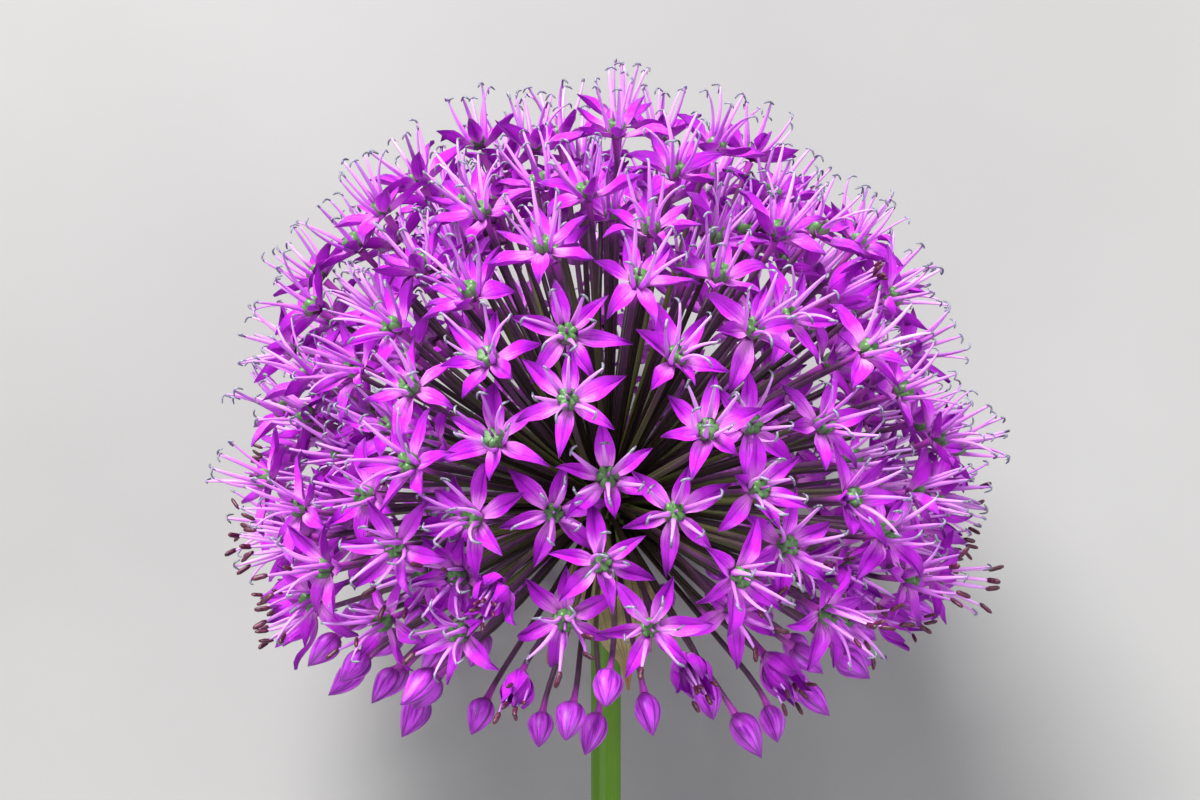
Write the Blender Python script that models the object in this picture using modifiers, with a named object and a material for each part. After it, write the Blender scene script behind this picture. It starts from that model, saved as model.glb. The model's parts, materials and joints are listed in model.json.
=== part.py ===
"""A cut allium flower head lying on a surface: a ball of starry florets on a length of its stem.

The flower is modelled upright in its own frame, with the point where all the floret stalks meet at
the origin and the stem running down -Z. It is then laid over on its back, so that the cut end of
the stem and the lowest florets touch the surface at z = 0. Metres, +Z up.
"""

import itertools
import math
import random

import bmesh
import bpy
import numpy
from mathutils import Matrix, Vector

MM = 0.001
SEED = 11

# The stem and the knob at its top
STEM_LENGTH = 108.0 * MM
STEM_RADIUS = 2.0 * MM
KNOB_RADIUS = 5.2 * MM

# How the cut flower lies: the stem rises towards the head by LEAN
LEAN = math.radians(23.5)
HUB_HEIGHT = STEM_LENGTH * math.sin(LEAN) + STEM_RADIUS * math.cos(LEAN)
HUB_PLACE = (-1.24 * MM, 21.78 * MM, HUB_HEIGHT)
UPWARD = numpy.array((0.0, -math.cos(LEAN), math.sin(LEAN)))

# The umbel: florets spread over a ball that is open round the stem
FLORETS = 222
BUDS = 44
HALF_OPEN = 14
LATE = 6
CYMES = 54
UMBEL_LIMIT = math.radians(134.0)
SIDE_RADIUS = 43.0 * MM
TOP_RADIUS = 49.3 * MM
RIM_RADIUS = 34.5 * MM
SPACING = 0.216
RIM_SHAKE = math.radians(17.0)
THIN_SPOT = (0.09, -0.90, 0.43)
THIN_SPOT_RADIUS = 0.19

# One floret
TEPAL_LENGTH = 6.4 * MM
TEPAL_WIDTH = 2.3 * MM
TEPAL_THICKNESS = 0.65 * MM
STAMEN_LENGTH = 8.2 * MM
OVARY_HEIGHT = 2.6 * MM
PEDICEL_RADIUS = 0.48 * MM
CORE_RADIUS = 0.95 * MM
CORE_HEIGHT = 1.1 * MM
BUD_LENGTH = 5.8 * MM
BUD_RADIUS = 2.0 * MM
CLEARANCE = 0.90 * MM

# The root of a cyme, just clear of the knob
ROOT_START = 5.6 * MM
ROOT_END = 8.4 * MM
ROOT_RADII = (1.05 * MM, 1.6 * MM)

# The papery valves that hang below the knob
VALVES = 3
VALVE_LENGTH = 18.0 * MM
VALVE_WIDTH = 9.0 * MM
VALVE_THICKNESS = 0.6 * MM


def clear_scene():
    for old in list(bpy.data.objects):
        bpy.data.objects.remove(old)


def material(name, colour, roughness):
    made = bpy.data.materials.new(name)
    made.use_nodes = True
    shader = made.node_tree.nodes["Principled BSDF"]
    shader.inputs["Base Color"].default_value = (*colour, 1.0)
    shader.inputs["Roughness"].default_value = roughness
    shader.inputs["Metallic"].default_value = 0.0
    return made


def directions(rng):
    """Even directions over the open ball, shaken and then pushed apart, with one thin spot."""
    cap = 1.0 - math.cos(UMBEL_LIMIT)
    points = []
    for i in range(FLORETS):
        polar = math.acos(1.0 - cap * (i + 0.5) / FLORETS) + rng.gauss(0.0, 0.05)
        turn = i * math.pi * (3.0 - math.sqrt(5.0)) + rng.gauss(0.0, 0.06)
        ring = math.sin(polar)
        points.append((ring * math.cos(turn), ring * math.sin(turn), math.cos(polar)))
    points = numpy.array(points)
    bare = numpy.array(THIN_SPOT) / numpy.linalg.norm(THIN_SPOT)
    lowest = numpy.array([math.cos(UMBEL_LIMIT - rng.uniform(0.0, RIM_SHAKE)) for _ in range(FLORETS)])
    for _ in range(30):
        away = points[:, None] - points[None, :]
        apart = numpy.linalg.norm(away, axis=2) + 9.0 * numpy.eye(FLORETS)
        push = numpy.maximum(0.0, SPACING - apart) / apart
        points += 0.35 * (away * push[:, :, None]).sum(axis=1)
        off = points - bare
        gap = numpy.linalg.norm(off, axis=1)
        points += 0.5 * off * (numpy.maximum(0.0, THIN_SPOT_RADIUS - gap) / gap)[:, None]
        points /= numpy.linalg.norm(points, axis=1)[:, None]
        points[:, 2] = numpy.maximum(points[:, 2], lowest)
        flat = numpy.sqrt(1.0 - points[:, 2] ** 2) / numpy.linalg.norm(points[:, :2], axis=1)
        points[:, :2] *= flat[:, None]
    return points


def stance(axis):
    """Rows: two directions square to an axis, then the axis."""
    other = (1.0, 0.0, 0.0) if abs(axis[0]) < 0.9 else (0.0, 1.0, 0.0)
    side = numpy.cross(axis, other)
    side /= numpy.linalg.norm(side)
    return numpy.array((side, numpy.cross(axis, side), axis))


def around(turn, out, up):
    """A place in a floret's own frame, from its turn about the axis, distance out and height."""
    return (out * math.cos(turn), out * math.sin(turn), up)


def tepal_line(floret, part):
    """Distance out and height at a part of a tepal's length; the tip curves up a little."""
    bend = floret["opening"] + 0.10 - 0.20 * part
    length = floret["size"] * TEPAL_LENGTH * part
    return 0.6 * MM + length * math.sin(bend), 0.5 * MM + length * math.cos(bend)


def stamen_line(floret, part):
    length = floret["size"] * STAMEN_LENGTH * part
    out = 0.4 * MM + length * math.sin(floret["spread"])
    return out, CORE_HEIGHT + length * math.cos(floret["spread"])


def organ_points(floret):
    """Points along all organs of a floret, in its own frame before it is turned."""
    if floret["stage"] == "bud":
        points = [(0.0, 0.0, BUD_LENGTH)]
        for k in range(6):
            points.append(around(k * math.pi / 3, 0.9 * BUD_RADIUS, 0.25 * BUD_LENGTH))
            points.append(around(k * math.pi / 3, 0.9 * BUD_RADIUS, 0.60 * BUD_LENGTH))
        return numpy.array(points)
    points = [(0.0, 0.0, 0.8 * MM), (0.0, 0.0, OVARY_HEIGHT)]
    for k in range(6):
        turn = k * math.pi / 3
        for part in (0.3, 0.5, 0.7, 0.85, 1.0):
            out, up = tepal_line(floret, part)
            points.append(around(turn, out, up))
            half = 0.5 * TEPAL_WIDTH * (1.0 - abs(part - 0.45) / 0.55)
            if part < 0.8:
                edge = math.atan2(half, out)
                points.append(around(turn + edge, math.hypot(out, half), up))
                points.append(around(turn - edge, math.hypot(out, half), up))
        for part in (0.3, 0.5, 0.7, 0.85, 1.0):
            out, up = stamen_line(floret, part)
            points.append(around(turn + math.pi / 6, out, up))
    return numpy.array(points)


def turned(points, turn):
    c, s = math.cos(turn), math.sin(turn)
    return points @ numpy.array(((c, s, 0.0), (-s, c, 0.0), (0.0, 0.0, 1.0)))


def settle(floret, turn, depth):
    """Sets a floret's turn and depth; one that would reach below the surface is drawn in."""
    floret["turn"] = turn
    floret["depth"] = depth
    spread = turned(organ_points(floret), turn) @ floret["stance"]
    radius = floret["radius"] + depth
    fall = -float(floret["direction"] @ UPWARD)
    if fall > 0.0:
        radius = min(radius, (HUB_HEIGHT + float((spread @ UPWARD).min())) / fall)
    floret["base"] = radius * floret["direction"]
    floret["points"] = spread + floret["base"]


def nearest(floret, others):
    """Distances from a floret's organs to those of its neighbours."""
    own = floret["points"]
    square = (own ** 2).sum(axis=1)[:, None] + (others ** 2).sum(axis=1)[None, :]
    return numpy.sqrt(numpy.maximum(0.0, square - 2.0 * own @ others.T))


def stalk_reach(direction):
    """How far out a floret stands: the umbel is a little tall, and drawn in round its lower rim."""
    up = direction[2]
    if up > 0.0:
        return SIDE_RADIUS * TOP_RADIUS / math.hypot(up * SIDE_RADIUS, math.sqrt(1.0 - up * up) * TOP_RADIUS)
    low = max(0.0, (-0.17 - up) / (-0.17 - math.cos(UMBEL_LIMIT)))
    return SIDE_RADIUS + (RIM_RADIUS - SIDE_RADIUS) * low


def umbel():
    """All florets, each with its stage, direction, depth and turn about its own stalk."""
    rng = random.Random(SEED)
    points = directions(rng)
    low = sorted(range(FLORETS), key=lambda i: points[i][2] + rng.gauss(0.0, 0.04))
    stages = {}
    for rank, i in enumerate(low):
        stages[i] = "bud" if rank < BUDS else "half" if rank < BUDS + HALF_OPEN else "open"
    for i in rng.sample(low[BUDS + HALF_OPEN:FLORETS - 20], LATE):
        stages[i] = "half"
    florets = []
    for i in range(FLORETS):
        direction = points[i]
        radius = stalk_reach(direction)
        axis = direction + 0.14 * numpy.array([rng.gauss(0.0, 1.0) for _ in range(3)])
        axis[2] += 0.10
        axis /= numpy.linalg.norm(axis)
        stage = stages[i]
        floret = {"stage": stage, "direction": direction, "stance": stance(axis), "size": 1.0}
        floret["radius"] = radius + rng.uniform(-2.6, 1.6) * MM
        opening = rng.uniform(54.0, 74.0) + 9.0 * (1.0 - direction[2])
        floret["opening"] = math.radians(opening if stage == "open" else 32.0)
        floret["spread"] = math.radians(rng.uniform(15.0, 27.0) if stage == "open" else 9.0)
        settle(floret, rng.uniform(0.0, math.pi / 3), 0.0)
        florets.append(floret)
    return clear_florets(florets, points)


def clear_florets(florets, points):
    """Turns each floret and shifts it along its stalk to where it is clearest of its neighbours.

    One that stays too near another is then made a little smaller.
    """
    apart = numpy.linalg.norm(points[:, None] - points[None, :], axis=2)
    beside = [[j for j in numpy.nonzero(apart[i] < 0.42)[0] if j != i] for i in range(FLORETS)]
    for _ in range(3):
        for i, floret in enumerate(florets):
            others = numpy.concatenate([florets[j]["points"] for j in beside[i]])
            best = None
            for depth in (0.0, -2.0 * MM, 2.0 * MM, -4.0 * MM):
                for step in range(6):
                    settle(floret, step * math.pi / 18, depth)
                    near = numpy.maximum(0.0, 1.6 * MM - nearest(floret, others))
                    cost = float((near ** 2).sum()) + 0.2 * MM ** 2 * (depth != 0.0)
                    if best is None or cost < best[0]:
                        best = (cost, floret["turn"], depth)
            settle(floret, best[1], best[2])
    for i, floret in enumerate(florets):
        others = numpy.concatenate([florets[j]["points"] for j in beside[i]])
        while floret["size"] > 0.60 and nearest(floret, others).min() < CLEARANCE:
            floret["size"] -= 0.04
            settle(floret, floret["turn"], floret["depth"])
    return florets


def draw_out(bm, face, places):
    """Draws a face out of its body, its corners going to the places in their order."""
    face = bmesh.ops.extrude_discrete_faces(bm, faces=[face])["faces"][0]
    for vert, place in zip(face.verts, places):
        vert.co = place
    return face


def draw_point(bm, face, place):
    """Closes a face over a point and returns its sides."""
    made = bmesh.ops.poke(bm, faces=[face])
    made["verts"][0].co = place
    return made["faces"]


def draw_tepal(bm, face, floret, frame, turn):
    """Draws a side of the core out into a pointed blade, widest near its middle."""
    corners = [frame.inverted() @ vert.co for vert in face.verts]
    middle_up = sum(corner.z for corner in corners) / 3.0
    out, up = tepal_line(floret, 0.45)
    lean = floret["opening"]
    places = []
    for corner in corners:
        side = math.remainder(math.atan2(corner.y, corner.x) - turn, 2.0 * math.pi)
        if abs(side) > 0.3:
            half = math.copysign(0.5 * TEPAL_WIDTH, side)
            place = around(turn + math.atan2(half, out), math.hypot(out, half), up)
        else:
            rise = TEPAL_THICKNESS if corner.z > middle_up else -TEPAL_THICKNESS
            place = around(turn, out - rise * math.cos(lean), up + rise * math.sin(lean))
        places.append(frame @ Vector(place))
    middle = draw_out(bm, face, places)
    out, up = tepal_line(floret, 1.0)
    draw_point(bm, middle, frame @ Vector(around(turn, out, up)))


def draw_stamens(bm, face, floret, frame):
    """Raises the ovary on the top of the core, with six stamens round it."""
    for side in draw_point(bm, face, frame @ Vector((0.0, 0.0, OVARY_HEIGHT))):
        centre = side.calc_center_median()
        for part in draw_point(bm, side, centre):
            corners = [frame.inverted() @ vert.co for vert in part.verts]
            if max(corner.z for corner in corners) < 0.9 * OVARY_HEIGHT:
                continue
            middle = sum(corners, Vector()) / 3.0
            turn = math.atan2(middle.y, middle.x) - floret["turn"]
            turn = (round(turn * 3.0 / math.pi - 0.5) + 0.5) * math.pi / 3.0 + floret["turn"]
            out, up = stamen_line(floret, 1.0)
            draw_point(bm, part, frame @ Vector(around(turn, out, up)))


def draw_core(bm, face, floret, frame):
    """Twists the top of the stalk through 60 degrees into a core with six sides, one a tepal."""
    places = []
    for vert in face.verts:
        corner = frame.inverted() @ vert.co
        turn = math.atan2(corner.y, corner.x) + math.pi / 3.0
        places.append(frame @ Vector(around(turn, CORE_RADIUS, CORE_HEIGHT)))
    old = list(face.verts)
    sides_before = set(bm.faces)
    top = draw_out(bm, face, places)
    new = list(top.verts)
    sides = [side for side in bm.faces if side not in sides_before and side is not top]
    blades = []
    for side in sides:
        for k in range(3):
            if old[(k + 1) % 3] in side.verts and new[k] in side.verts and old[k] in side.verts:
                half, _ = bmesh.utils.face_split(side, old[(k + 1) % 3], new[k])
                blades += [side, half]
                break
    for blade in blades:
        middle = frame.inverted() @ blade.calc_center_median()
        turn = math.atan2(middle.y, middle.x) - floret["turn"]
        turn = round(turn * 3.0 / math.pi) * math.pi / 3.0 + floret["turn"]
        draw_tepal(bm, blade, floret, frame, turn)
    draw_stamens(bm, top, floret, frame)


def draw_bud(bm, face, frame):
    """Swells the top of the stalk into a closed, pointed bud."""
    for part, radius in ((0.34, BUD_RADIUS), (0.62, 0.80 * BUD_RADIUS)):
        places = []
        for vert in face.verts:
            corner = frame.inverted() @ vert.co
            turn = math.atan2(corner.y, corner.x) + math.pi / 3.0
            places.append(frame @ Vector(around(turn, radius, part * BUD_LENGTH)))
        face = draw_out(bm, face, places)
    draw_point(bm, face, frame @ Vector((0.0, 0.0, BUD_LENGTH)))


def draw_floret(bm, foot, floret):
    """Draws one foot of the root out into a stalk with its floret or bud."""
    side, other, axis = (Vector(row) for row in floret["stance"])
    base = Vector(floret["base"])
    start = foot.calc_center_median()
    first = foot.verts[0].co - start
    phase = math.atan2(first.dot(other), first.dot(side))
    third = 2.0 * math.pi / 3.0
    flare = start + (base - start).normalized() * 2.4 * MM
    turn = floret["turn"]
    turn += third * round((phase - turn) / third)
    face = foot
    for middle, begin in ((flare, 0.5 * (phase + turn)), (base, turn)):
        places = []
        for k in range(3):
            angle = begin + k * third
            places.append(middle + PEDICEL_RADIUS * (math.cos(angle) * side + math.sin(angle) * other))
        face = draw_out(bm, face, places)
    frame = Matrix((side, other, axis)).transposed().to_4x4()
    frame.translation = base
    if floret["stage"] == "bud":
        draw_bud(bm, face, frame)
    else:
        draw_core(bm, face, floret, frame)


def cyme_axes():
    """Even directions for the roots of the cymes."""
    cap = 1.0 - math.cos(UMBEL_LIMIT)
    axes = []
    for i in range(CYMES):
        up = 1.0 - cap * (i + 0.5) / CYMES
        turn = i * math.pi * (3.0 - math.sqrt(5.0))
        ring = math.sqrt(1.0 - up * up)
        axes.append((ring * math.cos(turn), ring * math.sin(turn), up))
    return numpy.array(axes)


def best_order(florets, side, other):
    """The order round a root that lets the stalks run apart, and the turn of its first foot."""
    count = max(3, len(florets))
    step = 2.0 * math.pi / count
    lean = [(f["direction"] @ side, f["direction"] @ other) for f in florets]
    best = None
    for order in itertools.permutations(range(count), len(florets)):
        along = sum(x * math.cos(k * step) + y * math.sin(k * step) for k, (x, y) in zip(order, lean))
        across = sum(y * math.cos(k * step) - x * math.sin(k * step) for k, (x, y) in zip(order, lean))
        reach = math.hypot(along, across)
        if best is None or reach > best[0]:
            best = (reach, order, math.atan2(across, along))
    return best[1], best[2], step


def cyme(axis, florets):
    """A short root with its florets, each drawn out of one triangle of the root's top."""
    side, other, _ = stance(axis)
    order, phase, step = best_order(florets, side, other)
    frame = Matrix((Vector(side), Vector(other), Vector(axis))).transposed().to_4x4()
    frame.translation = Vector(axis) * 0.5 * (ROOT_START + ROOT_END)
    bm = bmesh.new()
    spin = Matrix.Rotation(phase + 0.5 * step - 0.5 * math.pi, 4, "Z")
    bmesh.ops.create_cone(bm, segments=round(2.0 * math.pi / step), cap_ends=True, radius1=ROOT_RADII[0],
                          radius2=ROOT_RADII[1], depth=ROOT_END - ROOT_START, matrix=frame @ spin)
    top = max(bm.faces, key=lambda face: face.calc_center_median().dot(Vector(axis)))
    feet = list(draw_point(bm, top, Vector(axis) * ROOT_END))
    for k, floret in zip(order, florets):
        aim = phase + k * step
        foot = max(feet, key=lambda f: (f.calc_center_median().dot(Vector(side)) * math.cos(aim)
                                        + f.calc_center_median().dot(Vector(other)) * math.sin(aim)))
        feet.remove(foot)
        draw_floret(bm, foot, floret)
    bmesh.ops.triangulate(bm, faces=bm.faces)
    mesh = bpy.data.meshes.new("cyme")
    bm.to_mesh(mesh)
    bm.free()
    return mesh


def scape():
    """The stem, turned about its axis, with the knob that carries the stalks."""
    neck = KNOB_RADIUS * 0.80
    profile = [(0.0, KNOB_RADIUS)]
    for k in range(1, 6):
        angle = k * math.radians(142.0) / 5
        profile.append((KNOB_RADIUS * math.sin(angle), KNOB_RADIUS * math.cos(angle)))
    profile += [(2.5 * MM, -neck - 4.0 * MM), (2.1 * MM, -neck - 12.0 * MM)]
    profile += [(STEM_RADIUS, -STEM_LENGTH), (0.0, -STEM_LENGTH)]
    mesh = bpy.data.meshes.new("scape")
    edges = [(k, k + 1) for k in range(len(profile) - 1)]
    mesh.from_pydata([(out, 0.0, up) for out, up in profile], edges, [])
    stem = bpy.data.objects.new("scape", mesh)
    screw = stem.modifiers.new("turned", "SCREW")
    screw.steps = 16
    screw.render_steps = 16
    screw.use_merge_vertices = True
    screw.merge_threshold = 0.00005
    screw.use_smooth_shade = True
    return stem


def spathe_valve(turn):
    """One papery valve: a pointed boat-shaped blade hanging from just below the knob."""
    bm = bmesh.new()
    bmesh.ops.create_grid(bm, x_segments=2, y_segments=5, size=0.5)
    for vert in bm.verts:
        along = vert.co.y + 0.5
        width = VALVE_WIDTH * (0.22 + 0.78 * math.sin(math.pi * min(1.0, along * 1.15 + 0.08)) ** 0.8)
        if along > 0.99:
            width = 0.5 * MM
        across = vert.co.x * width
        lean = math.radians(30.0 - 14.0 * along)
        out = 3.4 * MM + along * VALVE_LENGTH * math.sin(lean)
        down = 6.2 * MM + along * VALVE_LENGTH * math.cos(lean)
        boat = 1.1 * MM * (2.0 * vert.co.x) ** 2 * math.sin(math.pi * min(1.0, along + 0.15))
        vert.co = (out - boat, across, -down)
    mesh = bpy.data.meshes.new("spathe_valve")
    bm.to_mesh(mesh)
    bm.free()
    valve = bpy.data.objects.new("spathe_valve", mesh)
    valve.rotation_euler.z = turn
    shell = valve.modifiers.new("papery", "SOLIDIFY")
    shell.thickness = VALVE_THICKNESS
    shell.offset = 0.0
    return valve


def add(piece, name, look, collection, parent):
    piece.name = name
    piece.data.materials.append(look)
    piece.data.shade_smooth() if name == "scape" else None
    piece.parent = parent
    collection.objects.link(piece)


def build():
    clear_scene()
    collection = bpy.data.collections.new("allium_flower_head")
    bpy.context.scene.collection.children.link(collection)
    green = material("stem_green", (0.12, 0.22, 0.04), 0.5)
    papery = material("spathe_tan", (0.45, 0.33, 0.16), 0.7)
    purple = material("floret_purple", (0.42, 0.05, 0.50), 0.5)
    lying = bpy.data.objects.new("lying", None)
    lying.location = HUB_PLACE
    lying.rotation_euler.x = LEAN - 0.5 * math.pi
    collection.objects.link(lying)
    add(scape(), "scape", green, collection, lying)
    for k in range(VALVES):
        turn = math.radians(-75.0 + 120.0 * k)
        add(spathe_valve(turn), f"spathe_valve_{k + 1}", papery, collection, lying)
    florets = umbel()
    axes = cyme_axes()
    home = [int(numpy.argmax(axes @ floret["direction"])) for floret in florets]
    for k in range(CYMES):
        own = [floret for floret, at in zip(florets, home) if at == k]
        piece = bpy.data.objects.new("cyme", cyme(axes[k], own))
        add(piece, f"cyme_{k + 1:02d}", purple, collection, lying)


build()
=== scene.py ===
"""A cut allium flower head lying on a pale surface, seen from above its face.

The solids that carry it come from the frame. Around them this script puts together the stem, the
papery spathe, the stalks, and every floret and bud with its own tepals, stamens and ovary.
"""

import json
import math
import random

import bmesh
import bpy
import numpy
from mathutils import Euler, Matrix, Vector

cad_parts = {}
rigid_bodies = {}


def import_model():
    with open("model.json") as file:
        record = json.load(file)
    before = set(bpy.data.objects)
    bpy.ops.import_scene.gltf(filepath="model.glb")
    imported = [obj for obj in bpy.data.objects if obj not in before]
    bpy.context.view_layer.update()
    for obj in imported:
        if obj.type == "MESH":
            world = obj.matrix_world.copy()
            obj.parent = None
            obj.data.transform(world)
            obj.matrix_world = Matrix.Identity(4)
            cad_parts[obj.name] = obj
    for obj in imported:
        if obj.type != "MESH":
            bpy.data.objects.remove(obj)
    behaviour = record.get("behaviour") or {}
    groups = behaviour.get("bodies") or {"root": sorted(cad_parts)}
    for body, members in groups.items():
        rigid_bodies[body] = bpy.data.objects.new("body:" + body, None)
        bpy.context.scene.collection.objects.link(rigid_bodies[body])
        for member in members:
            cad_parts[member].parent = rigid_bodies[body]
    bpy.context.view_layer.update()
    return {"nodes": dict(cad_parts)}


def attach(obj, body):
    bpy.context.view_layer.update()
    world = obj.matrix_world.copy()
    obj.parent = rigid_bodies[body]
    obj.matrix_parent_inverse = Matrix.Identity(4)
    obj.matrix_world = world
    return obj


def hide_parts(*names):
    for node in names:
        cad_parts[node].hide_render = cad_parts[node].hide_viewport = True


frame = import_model()

# ------------------------------------------------------------
# Scape: the flower's stalk, a smooth waxy green stem with faint ribs. It swells
# into the knob that all floret stalks spring from, and its lower end is a clean
# cut that shows the paler pith.
# ------------------------------------------------------------

MM = 0.001
STEM_LENGTH = 108.0 * MM
STEM_RADIUS = 2.0 * MM
STEM_SIDES = 48
RIBS = 12
RIB_DEPTH = 0.012
KNOB_RADIUS = 5.2 * MM
CUT_BEVEL = 0.15 * MM
STEM_STEP = 3.4 * MM

# The flower lies on its back, its stem rising from the cut end to the knob. All of it is
# made upright, with the knob's middle at the origin, and then laid.
LEAN = math.radians(23.5)
HUB_HEIGHT = STEM_LENGTH * math.sin(LEAN) + STEM_RADIUS * math.cos(LEAN)
HUB = Vector((-1.24 * MM, 21.78 * MM, HUB_HEIGHT))
LAY = Matrix.Translation(HUB) @ Matrix.Rotation(LEAN - math.pi / 2, 4, "X")


def stood(name, data):
    """A new object in the scene that shows a mesh, a lamp or a camera."""
    thing = bpy.data.objects.new(name, data)
    bpy.context.scene.collection.objects.link(thing)
    return thing


def add_piece(name, mesh, slot, *stands_for):
    """Shows a finished mesh as a piece of the flower and hides the solids it stands for."""
    piece = stood(name, mesh)
    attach(piece, "root")
    if stands_for:
        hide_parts(*stands_for)


class Sap:
    """One socket in a node tree. Arithmetic on it adds Math nodes; node() adds any other node."""

    def __init__(self, tree, socket=None):
        self.tree = tree
        self.socket = socket

    def node(self, kind, settings=None, values=None, out=0):
        made = self.tree.nodes.new(kind)
        for key, value in (settings or {}).items():
            setattr(made, key, value)
        for key, value in (values or {}).items():
            if isinstance(value, Sap):
                self.tree.links.new(value.socket, made.inputs[key])
            else:
                made.inputs[key].default_value = value
        return Sap(self.tree, made.outputs[out])

    def beside(self, out):
        """Another output of the same node."""
        return Sap(self.tree, self.socket.node.outputs[out])

    def facts(self, *names):
        """Values that the mesh carries at each point, such as how far along a petal it is."""
        return [self.node("ShaderNodeAttribute", {"attribute_name": name}, out="Fac") for name in names]

    def place(self):
        return self.node("ShaderNodeTexCoord", out="Object")

    def xyz(self, x=0.0, y=0.0, z=0.0):
        return self.node("ShaderNodeCombineXYZ", {}, {0: x, 1: y, 2: z})

    def noise(self, scale, detail=3.0, rough=0.5, where=None):
        """Soft random values through space, or over the coordinates given."""
        return self.node("ShaderNodeTexNoise", {}, {"Vector": where or self.place(), "Scale": scale,
                                                    "Detail": detail, "Roughness": rough})

    def bump(self, strength, distance):
        """The surface raised by this value."""
        return self.node("ShaderNodeBump", {},
                         {"Height": self, "Strength": strength, "Distance": distance})

    def math(self, operation, *values):
        return self.node("ShaderNodeMath", {"operation": operation}, dict(enumerate(values)))

    def __add__(self, other):
        return self.math("ADD", self, other)

    __radd__ = __add__

    def __mul__(self, other):
        return self.math("MULTIPLY", self, other)

    __rmul__ = __mul__

    def __sub__(self, other):
        return self.math("SUBTRACT", self, other)

    def __rsub__(self, other):
        return self.math("SUBTRACT", other, self)

    def size(self):
        return self.math("ABSOLUTE", self)

    def step(self, low, high):
        """0 below low and 1 above high, with a soft step between."""
        return self.node("ShaderNodeMapRange", {"interpolation_type": "SMOOTHSTEP"},
                         {0: self, 1: low, 2: high})

    def blend(self, first, second):
        """A colour between two, by this value. Each is a socket, or its red, green and blue."""
        first, second = ((*side, 1.0) if isinstance(side, tuple) else side for side in (first, second))
        return self.node("ShaderNodeMix", {"data_type": "RGBA"}, {0: self, 6: first, 7: second}, out=2)


def finish_of(name, roughness=0.5, sheen=0.0, soft=0.0, soft_depth=1.0 * MM, gloss=0.5):
    """A new material, the helper that adds its nodes, and the shader they feed."""
    made = bpy.data.materials.new(name)
    made.use_nodes = True
    shader = made.node_tree.nodes["Principled BSDF"]
    shader.inputs["Roughness"].default_value = roughness
    shader.inputs["Sheen Weight"].default_value = sheen
    shader.inputs["Subsurface Weight"].default_value = soft
    shader.inputs["Subsurface Scale"].default_value = soft_depth
    shader.inputs["Specular IOR Level"].default_value = gloss
    return made, Sap(made.node_tree), shader


def feed(shader, **inputs):
    """Links values to the shader's sockets by name."""
    for name, value in inputs.items():
        value.tree.links.new(value.socket, shader.inputs[name.replace("_", " ")])


def skin(bottom, rings, top):
    """A closed skin: a point, rings of points counted anticlockwise from above, and a point."""
    bm = bmesh.new()
    along = bm.verts.layers.float.new("along")
    across = bm.verts.layers.float.new("across")
    count = len(rings[0])
    foot = bm.verts.new(bottom)
    made = []
    for k, ring in enumerate(rings):
        made.append([bm.verts.new(place) for place in ring])
        for j, vert in enumerate(made[-1]):
            vert[along] = (k + 0.5) / len(rings)
            vert[across] = j / count
    tip = bm.verts.new(top)
    tip[along] = 1.0
    for j in range(count):
        after = (j + 1) % count
        bm.faces.new((made[0][after], made[0][j], foot))
        bm.faces.new((made[-1][j], made[-1][after], tip))
        for low, high in zip(made, made[1:]):
            bm.faces.new((low[j], low[after], high[after], high[j]))
    for face in bm.faces:
        face.smooth = True
    return bm


def mesh_of(bm, name, place=None):
    """The finished mesh of a skin, moved to its place."""
    if place is not None:
        bm.transform(place)
    mesh = bpy.data.meshes.new(name)
    bm.to_mesh(mesh)
    bm.free()
    return mesh


def around(turn, out, up):
    """A place by its turn about the axis, its distance from it and its height."""
    return (out * math.cos(turn), out * math.sin(turn), up)


def scape_ring(radius, up):
    turns = [math.tau * j / STEM_SIDES for j in range(STEM_SIDES)]
    return [around(turn, radius * (1.0 + RIB_DEPTH * math.cos(RIBS * turn)), up) for turn in turns]


rings = [scape_ring(0.94 * STEM_RADIUS, -STEM_LENGTH), scape_ring(STEM_RADIUS, -STEM_LENGTH + CUT_BEVEL)]
for k in range(1, 25):
    rings.append(scape_ring(STEM_RADIUS, -STEM_LENGTH + k * STEM_STEP))
for radius, up in ((2.02, -20.0), (2.08, -16.0), (2.2, -12.0), (2.45, -8.5), (2.75, -6.2), (3.2, -5.0)):
    rings.append(scape_ring(radius * MM, up * MM))
for k in range(13):
    polar = math.radians(138.0 - 11.0 * k)
    rings.append(scape_ring(KNOB_RADIUS * math.sin(polar), KNOB_RADIUS * math.cos(polar)))
cut_end = (0.0, 0.0, -STEM_LENGTH - 0.05 * MM)
scape_mesh = mesh_of(skin(cut_end, rings, (0.0, 0.0, KNOB_RADIUS)), "scape", LAY)
scape_mesh.set_sharp_from_angle(angle=math.radians(50.0))

look, sap, shader = finish_of("waxy_stem", roughness=0.42, soft=0.08, gloss=0.25)
along, across = sap.facts("along", "across")
streak = sap.noise(1.0, where=sap.xyz(across * 60.0, along * 9.0))
blotch = sap.noise(160.0)
green = (streak * 0.7 + blotch * 0.5 - 0.1).blend((0.050, 0.145, 0.005), (0.125, 0.27, 0.018))
pith = (0.022 - along).step(0.0, 0.012)
green = pith.blend(green, (0.42, 0.50, 0.24))
# The upper stem and the knob are darkened towards dark olive: painted shade under the flower head.
painted_shade_under_head = along.step(0.60, 0.74)
green = (painted_shade_under_head * 0.75).blend(green, (0.10, 0.11, 0.03))
feed(shader, Base_Color=green, Roughness=blotch * 0.2 + 0.33,
     Normal=(streak + blotch * 0.4).bump(0.25, 0.12 * MM))
scape_mesh.materials.append(look)
add_piece("scape_stem", scape_mesh, "stem_green", "scape")

# ------------------------------------------------------------
# Spathe: the papery bracts that wrapped the young head. They split into three
# valves and hang, dry, tan and veined, from just below the knob.
# ------------------------------------------------------------


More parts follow.
